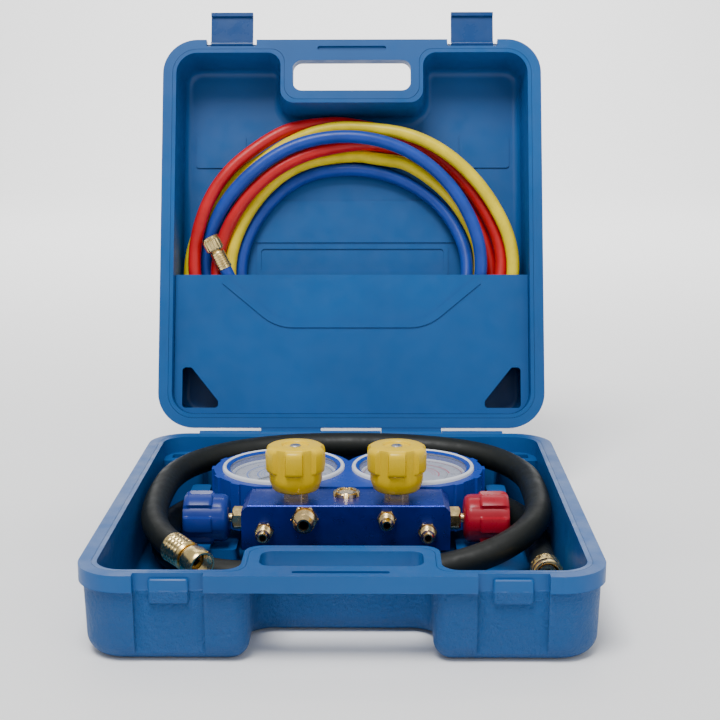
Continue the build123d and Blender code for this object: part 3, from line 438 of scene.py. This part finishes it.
def hose_curve(name, node, radius, finish, body):
    """One smooth line with a round section along a hose's route."""
    curve = bpy.data.curves.new(node + "_line", "CURVE")
    curve.dimensions = "3D"
    spline = curve.splines.new("NURBS")
    points = [p * MM for p in ROUTES[name]]
    spline.points.add(len(points) - 1)
    for point, place in zip(spline.points, points):
        point.co = (*place, 1)
    spline.order_u = 3
    spline.use_endpoint_u = True
    spline.resolution_u = 14
    curve.bevel_depth = radius * MM
    curve.bevel_resolution = 7
    curve.use_fill_caps = True
    curve.materials.append(finish)
    piece = bpy.data.objects.new(node + "_cover", curve)
    bpy.context.scene.collection.objects.link(piece)
    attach(piece, body)
    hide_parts(node)
    return piece


# ---- operators -----------------------------------------------------------------------------------
class GAUGESET_OT_case(bpy.types.Operator):
    """Give the two case halves, the pocket panel and the pins their finishes"""
    bl_idname = "gaugeset.case"
    bl_label = "Carry case"

    def execute(self, context):
        look = context.scene.case_look
        wall = moulded("case outer", look.plastic, 0.42,
                       grained_beyond=((0, 0, -1), -BASE_BAND * MM), grain_depth=look.grain)
        depth_axis = (on_lid(0, 0, 1) - on_lid(0, 0, 0)).normalized()
        rim = on_lid(0, 0, LID_BAND) * MM
        lid_wall = moulded("lid outer", look.plastic, 0.42,
                           grained_beyond=(tuple(depth_axis), rim.dot(depth_axis)),
                           grain_depth=look.grain)
        inside = moulded("case inner", look.plastic, 0.36, grain=0.08)
        dress(wall, "case_base_shell")
        dress(lid_wall, "case_lid_shell")
        dress(inside, "case_base_tray", "case_lid_liner", "lid_pocket_panel")
        dress(metal("hinge steel", (0.62, 0.63, 0.64), 0.3), "hinge_pin", "latch_pins")
        dress(moulded("latch", look.latch, 0.28, grain=0.06), "latch_left", "latch_right")
        return {"FINISHED"}


class GAUGESET_OT_manifold(bpy.types.Operator):
    """Finish the anodised block and the gauge cover, and make the sight glass"""
    bl_idname = "gaugeset.manifold"
    bl_label = "Manifold block"

    def execute(self, context):
        look = context.scene.manifold_look
        block = Finish("anodised block", look.block, 0.30, 0.80, Coat_Weight=0.35, Coat_Roughness=0.22)
        block.mottle(look.block, block.spread(block.noise(30, 4), 0, 1), 0.85, 1.12)
        block.vary_roughness(block.noise(160, 4, 0.6), 0.24, 0.40)
        block.bump(block.noise(700, 3, stretch=(0.08, 1, 1)), 0.10, 0.0003)
        dress(block.material, "manifold_block")
        boot = moulded("gauge cover", look.boot, 0.30, grain=0.06)
        dress(boot, "gauge_cover")
        brass = metal("sight glass brass", look.brass, 0.22)
        ring = Form()
        top = BLOCK_TOP + 3.6

        def castellated(angle, radius, distance):
            gap = min(abs((angle - slot + math.pi) % (2 * math.pi) - math.pi)
                      for slot in SIGHT_GLASS_SLOTS)
            slotted = gap <= 0.16 and radius >= 7 and distance >= BLOCK_TOP + 1.4
            return radius - 1.6 if slotted else radius

        ring.lathe([(8, BLOCK_TOP - 7), (8, BLOCK_TOP), (10, BLOCK_TOP), (10, top - 1), (9.2, top),
                    (7.4, top), (6.5, top - 1.2), (6.5, BLOCK_TOP - 0.9), (4.6, BLOCK_TOP - 1),
                    (4.6, BLOCK_TOP - 7)], (0, SIGHT_GLASS_Y, 0), segments=96,
                   shape=castellated, closed=True)
        ring.make("sight_glass_bezel", "manifold", "brass", brass, ["sight_glass_ring"], bevel=0.15)
        dress(clear("sight glass", (0.85, 0.92, 0.9), 0.28), "sight_glass_lens")
        bed = Form().lathe([(0, BLOCK_TOP - 7.4), (4.4, BLOCK_TOP - 7.4), (4.4, BLOCK_TOP - 6.4),
                            (0.01, BLOCK_TOP - 6.4)], (0, SIGHT_GLASS_Y, 0), segments=48)
        bed.make("sight_glass_bed", "manifold", "dial_white", printed("sight bed", (0.75, 0.72, 0.60)))
        return {"FINISHED"}


class GAUGESET_OT_ports(bpy.types.Operator):
    """Make the four flare ports with their hexagons and threads, and near-black linings of painted shade
    in their bores
    """
    bl_idname = "gaugeset.ports"
    bl_label = "Flare ports"

    def execute(self, context):
        brass = metal("port brass", context.scene.manifold_look.brass, 0.20)
        # near-black sleeve material: painted shade standing in for the shade deep inside each port's
        # bore
        bore_shade = metal("painted bore shade", (0.035, 0.026, 0.018), 0.5)
        small, large, bore_shade_linings = Form(), Form(), Form()
        for x, z, radius in FLARE_PORTS:
            form = large if radius == LARGE_FLARE_R else small
            place = (x, BLOCK_FRONT, z)
            across = radius * 1.12 * 2
            root, crest = radius * 0.88, radius
            hexagon = [(0.01, -6), (radius * 0.8, -6), (across * 0.58, 0), (across * 0.58, 3.4),
                       (across * 0.52, 4.0), (radius * 0.84, 4.0), (0.01, 4.0)]
            form.lathe(hexagon, place, (0, -1, 0), 72, six_sided(across))
            thread = [(radius * 0.43, 3.8), (radius * 0.84, 3.8)]
            for turn in range(THREAD_TURNS):
                d = 4.3 + turn * THREAD_PITCH
                thread += [(root, d), (crest, d + THREAD_PITCH * 0.4), (crest, d + THREAD_PITCH * 0.6),
                           (root, d + THREAD_PITCH)]
            thread += [(radius * 0.90, 14.0), (radius * 0.62, 18.0), (radius * 0.46, 18.0),
                       (radius * 0.43, 17.4)]
            form.lathe(thread, place, (0, -1, 0), 48, closed=True)
            # painted shade: a dark sleeve lines each bore where shade falls
            bore_shade_linings.lathe([(radius * 0.42, 17.2), (radius * 0.42, 4.1), (0.01, 4.1), (0.01, 5.0),
                         (radius * 0.39, 5.0), (radius * 0.39, 17.2)], place, (0, -1, 0), 32,
                        closed=True)
        small.make("flare_ports_quarter_inch", "manifold", "brass", brass, ["port_fittings_small"])
        large.make("flare_port_three_eighths", "manifold", "brass", brass, ["port_fitting_vacuum"])
        bore_shade_linings.make("flare_port_bore_shade", "manifold", "brass", bore_shade)
        dress(brass, "valve_bonnets")
        return {"FINISHED"}


class GAUGESET_OT_knobs(bpy.types.Operator):
    """Mould the four lobed knobs and finish their stems and pistons"""
    bl_idname = "gaugeset.knobs"
    bl_label = "Valve knobs"

    def execute(self, context):
        look = context.scene.manifold_look
        brass = metal("valve brass", look.brass, 0.22)
        steel = metal("knob screw steel", (0.65, 0.65, 0.66), 0.28)
        dress(brass, *["stem_" + v for v in VALVES], *["piston_" + v for v in VALVES])
        places = {
            "low_side": ((-BLOCK_HALF, 0, VALVE_Z), (-1, 0, 0), SIDE_KNOB, look.low_knob),
            "high_side": ((BLOCK_HALF, 0, VALVE_Z), (1, 0, 0), SIDE_KNOB, look.high_knob),
            "vacuum": ((-TOP_VALVE_X, TOP_VALVE_Y, BLOCK_TOP), (0, 0, 1), TOP_KNOB, look.top_knob),
            "charge": ((TOP_VALVE_X, TOP_VALVE_Y, BLOCK_TOP), (0, 0, 1), TOP_KNOB, look.top_knob),
        }
        lobes = look.lobes
        finishes = {}
        for name, (seat, out, (diameter, length), tint) in places.items():
            key = tuple(tint)
            if key not in finishes:
                finishes[key] = moulded("knob " + name, tint, 0.30, grain=0.05)
            radius = diameter / 2
            start = Vector(seat) + Vector(out) * KNOB_START
            valley = radius * 0.87

            def lobed(angle, r, distance, valley=valley):
                phase = (angle * lobes / (2 * math.pi)) % 1
                side = min(phase, 1 - phase) * 2
                rise = min(1, max(0, (side - 0.34) / 0.16))
                rise = rise * rise * (3 - 2 * rise)
                low = min(r, valley)
                return low + (r - low) * rise

            profile = self.profile(radius, length, skirted=name in ("vacuum", "charge"))
            knob = Form().lathe(profile, start, out, segments=lobes * 24, shape=lobed)
            knob.make("knob_moulding_" + name, "knob_" + name, "knob_" + {
                "low_side": "blue", "high_side": "red"}.get(name, "yellow"), finishes[key],
                ["knob_" + name], sharp=50)
            screw_at = start + Vector(out) * (length - 1.55)
            screw = Form().lathe([(0.01, 0), (4.2, 0), (4.2, 0.5), (3.4, 1.1), (0.9, 1.3), (0.85, 0.6),
                                  (0.01, 0.6)], screw_at, out, segments=48)
            screw.make("knob_screw_" + name, "knob_" + name, "steel", steel)
        return {"FINISHED"}

    @staticmethod
    def profile(radius, length, skirted):
        """Half section of a knob from its stem hole to the screw's recess on top."""
        collar_l = length * 0.34
        if skirted:
            foot = [(SKIRT_BORE, 0), (SKIRT_BORE, -SKIRT_L), (radius * 0.62, -SKIRT_L),
                    (radius * 0.72, 0.5 - SKIRT_L), (radius * 0.78, 2.0 - SKIRT_L),
                    (radius * 0.84, 1.4)]
        else:
            foot = [(radius * 0.40, 0), (radius * 0.66, 0.3), (radius * 0.80, 1.4)]
        collar = [(radius * 0.87, 3.6), (radius * 0.885, 6.0), (radius * 0.89, collar_l - 0.6),
                  (radius * 0.885, collar_l - 0.1), (radius * 0.90, collar_l + 0.1),
                  (radius * 0.96, collar_l + 0.5), (radius * 0.985, collar_l + 1.4)]
        head = [(radius, collar_l + 3), (radius, length - 6), (radius * 0.99, length - 4),
                (radius * 0.95, length - 2.2), (radius * 0.86, length - 0.9),
                (radius * 0.74, length - 0.3), (radius * 0.52, length)]
        recess = [(radius * 0.47, length), (radius * 0.44, length - 0.5),
                  (radius * 0.42, length - 1.5), (0.01, length - 1.5)]
        return [(3.5, 0)] + foot + collar + head + recess


class GAUGESET_OT_gauges(bpy.types.Operator):
    """Print the gauge dials and finish cases, bezels, lenses and pointers"""
    bl_idname = "gaugeset.gauges"
    bl_label = "Gauges"

    def execute(self, context):
        white = moulded("bezel white", (0.74, 0.78, 0.84), 0.26, grain=0.04)
        lining = moulded("gauge well", context.scene.manifold_look.boot, 0.30, grain=0.04)
        # the dials are white; this darker grey-blue is painted shade from the deep well and a painted
        # bluish reflection of the lens
        paper = printed("white dial in painted shade", (0.40, 0.41, 0.47))
        steel = metal("gauge case steel", (0.60, 0.61, 0.62), 0.32)
        brass = metal("gauge brass", context.scene.manifold_look.brass, 0.26)
        black = printed("printing black", (0.02, 0.02, 0.025), 0.5)
        rose = printed("printing red", (0.50, 0.03, 0.06), 0.5)
        pale_blue = printed("printing blue", (0.08, 0.16, 0.50), 0.5)
        needle = Finish("pointer black", (0.015, 0.015, 0.015), 0.35)
        needle.vary_roughness(needle.noise(200, 3), 0.28, 0.45)
        glass = clear("gauge lens", (0.86, 0.92, 0.98), 0.14)
        for name, side in SIDES:
            dress(steel, "gauge_case_" + name)
            dress(brass, "gauge_works_" + name)
            dress(paper, "dial_" + name)
            dress(glass, "lens_" + name)
            dress(needle.material, "pointer_" + name)
            centre = (side * GAUGE_X, GAUGE_Y)
            self.surround(name, centre, white, lining)
            self.printing(name, centre, 1 if side < 0 else 5, black, rose if side > 0 else pale_blue)
        return {"FINISHED"}

    @staticmethod
    def surround(name, centre, white, lining):
        """White rim, lining of the well and the raised edge of the dial."""
        foot = (*centre, 0)
        rim = Form().lathe([(WALL_R, 56.2), (48.5, 56.2), (48.5, 60.4), (48.1, 61.3), (47.3, 61.9),
                            (46.4, 61.95), (45.8, 61.6), (WALL_R, 61.0)], foot, segments=128,
                           closed=True)
        rim.make("bezel_rim_" + name, "manifold", "bezel_white", white, ["bezel_" + name])
        well = Form()
        well.lathe([(WALL_R, LENS_Z + 2.1), (WALL_R, 61.2), (WALL_R - 0.3, 61.2),
                    (WELL_R + 0.1, LENS_Z + 2.3), (WELL_R + 0.1, LENS_Z + 2.1)], foot,
                   segments=128, closed=True)
        well.lathe([(WELL_R - 0.6, DIAL_FACE + 0.1), (WELL_R - 0.1, DIAL_FACE + 0.1),
                    (WELL_R - 0.1, 56.3), (WALL_R, 56.3), (WALL_R, LENS_Z - 0.1),
                    (WELL_R - 0.6, LENS_Z - 0.1)], foot, segments=128, closed=True)
        well.make("gauge_well_" + name, "manifold", "gauge_boot_blue", lining)
        edge = Form().lathe([(40.7, DIAL_FACE + 0.02), (41.6, DIAL_FACE + 0.02), (41.6, 54.9),
                             (41.2, 55.2), (40.8, 54.9)], foot, segments=128, closed=True)
        edge.make("dial_edge_" + name, "manifold", "bezel_white", white)

    def printing(self, name, centre, unit, black, tint):
        """Two scales with their numbers in black, and plain bands in the gauge's own colour."""
        z = DIAL_FACE + 0.05
        start, sweep = DIAL_START, DIAL_SWEEP
        ink, band = Form(), Form()
        for inner, outer in ((38.6, 39.0), (27.4, 27.7)):
            ink.ring_arc(inner, outer, start, start - sweep, z, centre, 96)
        for i in range(61):
            a = start - sweep * i / 60
            inner, half = (36.8, 0.22) if i % 5 else (35.4, 0.42)
            ink.ring_arc(inner, 38.6, a + half, a - half, z, centre, 1)
        for i in range(55):
            a = start - sweep * i / 54
            ink.ring_arc(25.8 if i % 6 else 24.6, 27.4, a + 0.2, a - 0.2, z, centre, 1)
        for inner, outer, lead, share in ((28.4, 29.8, 0, 0.82), (20.2, 21.4, 12, 0.9),
                                          (17.6, 18.1, 12, 0.88), (15.4, 15.9, 20, 0.86),
                                          (39.2, 39.8, 0, 1.0)):
            band.ring_arc(inner, outer, start - lead, start - sweep * share, z, centre, 80)
        self.numerals(ink, centre, z, 31.9, 4.0, range(0, 13, 2), unit)
        self.numerals(ink, centre, z, 23.0, 2.6, range(0, 10), 10)
        ink.make("dial_printing_" + name, "manifold", "black_paint", black, solid=False)
        band.make("dial_band_" + name, "manifold", "dial_white", tint, solid=False)

    @staticmethod
    def numerals(form, centre, z, radius, size, steps, unit):
        """Plain numbers round a scale."""
        last = steps[-1]
        for step in steps:
            angle = math.radians(DIAL_START - DIAL_SWEEP * step / last)
            text = bpy.data.curves.new("numeral", "FONT")
            text.body, text.size = str(step * unit), size
            text.align_x, text.align_y = "CENTER", "CENTER"
            holder = bpy.data.objects.new("numeral", text)
            mesh = bpy.data.meshes.new_from_object(holder)
            x, y = centre[0] + radius * math.cos(angle), centre[1] + radius * math.sin(angle)
            form.add_mesh(mesh, Matrix.Translation((x, y, z)))
            bpy.data.objects.remove(holder)
            bpy.data.meshes.remove(mesh)


class GAUGESET_OT_hoses(bpy.types.Operator):
    """Lay the four hoses and put their crimped ferrules and coupling nuts on"""
    bl_idname = "gaugeset.hoses"
    bl_label = "Hoses"

    def execute(self, context):
        look = context.scene.hose_look
        plated = metal("plated brass", look.plating, 0.22)
        # node, radius, colour, body, length in metres, ferrule length, nut radius, nut length
        kinds = {
            "blue": ("hose_blue", HOSE_R, look.blue, "case_lid", 1.405, 17.0, 8.0, 14.0),
            "yellow": ("hose_yellow", HOSE_R, look.yellow, "case_lid", 1.45, 17.0, 8.0, 14.0),
            "red": ("hose_red", HOSE_R, look.red, "case_lid", 1.42, 17.0, 8.0, 14.0),
            "vacuum": ("vacuum_hose", VACUUM_HOSE_R, look.black, "case_base", 1.48, 20.0, 11.0, 17.0),
        }
        for name, (node, radius, tint, body, length, ferrule_l, nut_r, nut_l) in kinds.items():
            dull = name == "vacuum"
            rubber = hose_rubber(node + " cover", tint, 0.50 if dull else 0.36, 0.02 if dull else 0.10)
            hose = hose_curve(name, node, radius, rubber, body)
            ferrules, on_hose = Form(), []
            for end, tip, out in hose_ends(name):
                self.ferrule(ferrules, tip, out, radius, ferrule_l, dull)
                nut_node = f"nut_{name}_{end}"
                nut = Form()
                self.nut(nut, tip, out, radius, ferrule_l, nut_r, nut_l, dull)
                on_hose.append(nut.make("coupling_" + nut_node, nut_node, "plated_brass", plated,
                                        [nut_node]))
            on_hose.append(ferrules.make("crimped_ferrules_" + name, body, "plated_brass", plated,
                                         ["ferrules_" + name]))
        return {"FINISHED"}

    @staticmethod
    def ferrule(form, tip, out, radius, length, dull):
        """Crimped sleeve with its rings, and the neck and collar that hold the swivel nut."""
        back = tip - out * length * FERRULE_ON_HOSE
        wall = radius + 1.0
        neck, collar = radius * 0.62, radius * 0.86
        rings = []
        count = 4 if dull else 6
        pitch = (length - 4.6) / count
        for i in range(count):
            d = 1.6 + (length - 4.6) * i / count
            rings += [(wall - 0.05, d), (wall - 0.05, d + pitch * 0.55), (wall - 0.55, d + pitch * 0.75),
                      (wall - 0.5, d + pitch * 0.9)]
        profile = [(radius * 0.36, 0.4), (radius + 0.05, 0.4), (radius + 0.05, 0), (wall - 0.2, 0),
                   (wall, 0.5), (wall, 1.2)] + rings
        profile += [(wall - 0.2, length - 2.6), (wall - 0.2, length - 1.5), (wall - 1.2, length),
                    (neck, length), (neck, length + 3), (collar, length + 3), (collar, length + 5),
                    (neck, length + 8), (radius * 0.36, length + 8)]

        def crimped(angle, r, distance):
            if dull and 1.3 < distance < length - 3 and r > radius:
                return r - 0.45 * (0.5 + 0.5 * math.cos(angle * 12)) ** 2
            return r

        form.lathe(profile, back, out, segments=96, shape=crimped, closed=True)

    @staticmethod
    def nut(form, tip, out, radius, ferrule_l, nut_r, nut_l, dull):
        """Swivel nut with its threaded bore; the small ones are fluted."""
        shoulder = tip + out * (ferrule_l * (1 - FERRULE_ON_HOSE) + NUT_RUN)
        neck, collar = radius * 0.62 + 0.05, radius * 0.86 + 0.1
        inside = nut_r - 2.4
        if dull:
            outer = [(nut_r * 0.70, 0), (nut_r * 0.78, 0.3), (nut_r * 0.93, 3.2), (nut_r, 7),
                     (nut_r, nut_l - 3), (nut_r * 0.97, nut_l - 1.2), (nut_r * 0.90, nut_l)]
        else:
            outer = [(nut_r - 2.2, 0), (nut_r - 0.9, 0.8), (nut_r, 2.4), (nut_r, nut_l - 3.4),
                     (nut_r - 0.9, nut_l - 3.0), (nut_r - 0.9, nut_l - 2.3), (nut_r - 0.1, nut_l - 2.0),
                     (nut_r - 0.1, nut_l - 0.8), (nut_r - 0.8, nut_l)]
        bore = [(inside, nut_l)]
        d = nut_l - 1.0
        while d > 7.2:
            bore += [(inside, d), (inside - 0.5, d - 0.45), (inside, d - 0.9)]
            d -= 1.1
        bore += [(inside, 6.0), (collar, 6.0), (collar, 2.4), (neck, 2.4), (neck, 0)]

        def fluted(angle, r, distance):
            if dull or r < nut_r - 1.0 or distance > nut_l - 2.2:
                return r
            return r - 0.55 * (0.5 - 0.5 * math.cos(angle * 12)) ** 3

        form.lathe(outer + bore, shoulder, out, segments=144, shape=fluted, closed=True)


class GAUGESET_OT_stage(bpy.types.Operator):
    """Floor, soft light and camera"""
    bl_idname = "gaugeset.stage"
    bl_label = "Stage"

    def execute(self, context):
        look = context.scene.stage_look
        scene = context.scene
        floor_mesh = bpy.data.meshes.new("floor")
        rows = [(-5.0, 0.0), (3.0, 0.0)]
        rows += [(3.0 + 1.5 * math.sin(a), 1.5 - 1.5 * math.cos(a))
                 for a in (math.radians(7.5 * i) for i in range(1, 13))] + [(4.5, 5.0)]
        floor_mesh.from_pydata([(x, y, z) for y, z in rows for x in (-7, 7)], [],
                               [(2 * i, 2 * i + 1, 2 * i + 3, 2 * i + 2) for i in range(len(rows) - 1)])
        floor_mesh.shade_smooth()
        floor = bpy.data.objects.new("floor", floor_mesh)
        scene.collection.objects.link(floor)
        paper = Finish("floor paper", look.floor, 0.75)
        paper.mottle(look.floor, paper.spread(paper.noise(3, 2), 0, 1), 0.99, 1.0)
        floor_mesh.materials.append(paper.material)
        world = bpy.data.worlds.new("studio")
        world.use_nodes = True
        background = world.node_tree.nodes["Background"]
        background.inputs["Color"].default_value = (1, 1, 1, 1)
        background.inputs["Strength"].default_value = look.ambient
        scene.world = world
        for name, place, aim, size, power in (
                ("key", (-0.35, -0.95, 2.5), (0, 0, 0.1), 1.1, look.key),
                ("fill", (1.6, -1.7, 1.0), (0, 0, 0.15), 1.2, look.key * 0.10),
                ("backdrop", (0, 1.9, 2.6), (0, 4.2, 0.6), 2.0, look.key * 2.4)):
            data = bpy.data.lights.new(name, "AREA")
            data.size, data.energy = size, power
            light = bpy.data.objects.new(name, data)
            scene.collection.objects.link(light)
            light.location = place
            light.rotation_euler = (Vector(aim) - Vector(place)).to_track_quat("-Z", "Y").to_euler()
        yaw, pitch, roll = (math.radians(a) for a in CAMERA_TURN)
        ahead = Vector((math.sin(yaw) * math.cos(pitch), math.cos(yaw) * math.cos(pitch),
                        -math.sin(pitch)))
        level_right = Vector((math.cos(yaw), -math.sin(yaw), 0))
        level_up = level_right.cross(ahead)
        right = math.cos(roll) * level_right + math.sin(roll) * level_up
        up = -math.sin(roll) * level_right + math.cos(roll) * level_up
        data = bpy.data.cameras.new("camera")
        data.lens, data.sensor_width = look.lens, 36.0
        camera = bpy.data.objects.new("camera", data)
        scene.collection.objects.link(camera)
        matrix = Matrix((right, up, -ahead)).transposed().to_4x4()
        matrix.translation = Vector(CAMERA_AT)
        camera.matrix_world = matrix
        scene.camera = camera
        return {"FINISHED"}


class GAUGESET_PT_panel(bpy.types.Panel):
    """Sizes, colours and steps of the gauge set"""
    bl_label = "Gauge set"
    bl_idname = "GAUGESET_PT_panel"
    bl_space_type = "VIEW_3D"
    bl_region_type = "UI"
    bl_category = "Gauge set"

    def draw(self, context):
        column = self.layout.column()
        for group in LOOKS:
            look = getattr(context.scene, group)
            for key in type(look).__annotations__:
                column.prop(look, key)
        for step in STEPS:
            column.operator(step.bl_idname)


LOOKS = {"case_look": CaseLook, "manifold_look": ManifoldLook, "hose_look": HoseLook,
         "stage_look": StageLook}
STEPS = (GAUGESET_OT_stage, GAUGESET_OT_hoses, GAUGESET_OT_case, GAUGESET_OT_manifold,
         GAUGESET_OT_ports, GAUGESET_OT_knobs, GAUGESET_OT_gauges)


def register():
    for group in (*LOOKS.values(), *STEPS, GAUGESET_PT_panel):
        bpy.utils.register_class(group)
    for name, group in LOOKS.items():
        setattr(bpy.types.Scene, name, bpy.props.PointerProperty(type=group))


def unregister():
    for name in LOOKS:
        delattr(bpy.types.Scene, name)
    for group in (GAUGESET_PT_panel, *reversed(STEPS), *LOOKS.values()):
        bpy.utils.unregister_class(group)


def main():
    register()
    for step in STEPS:
        area, action = step.bl_idname.split(".")
        getattr(getattr(bpy.ops, area), action)()


if __name__ == "__main__":
    main()
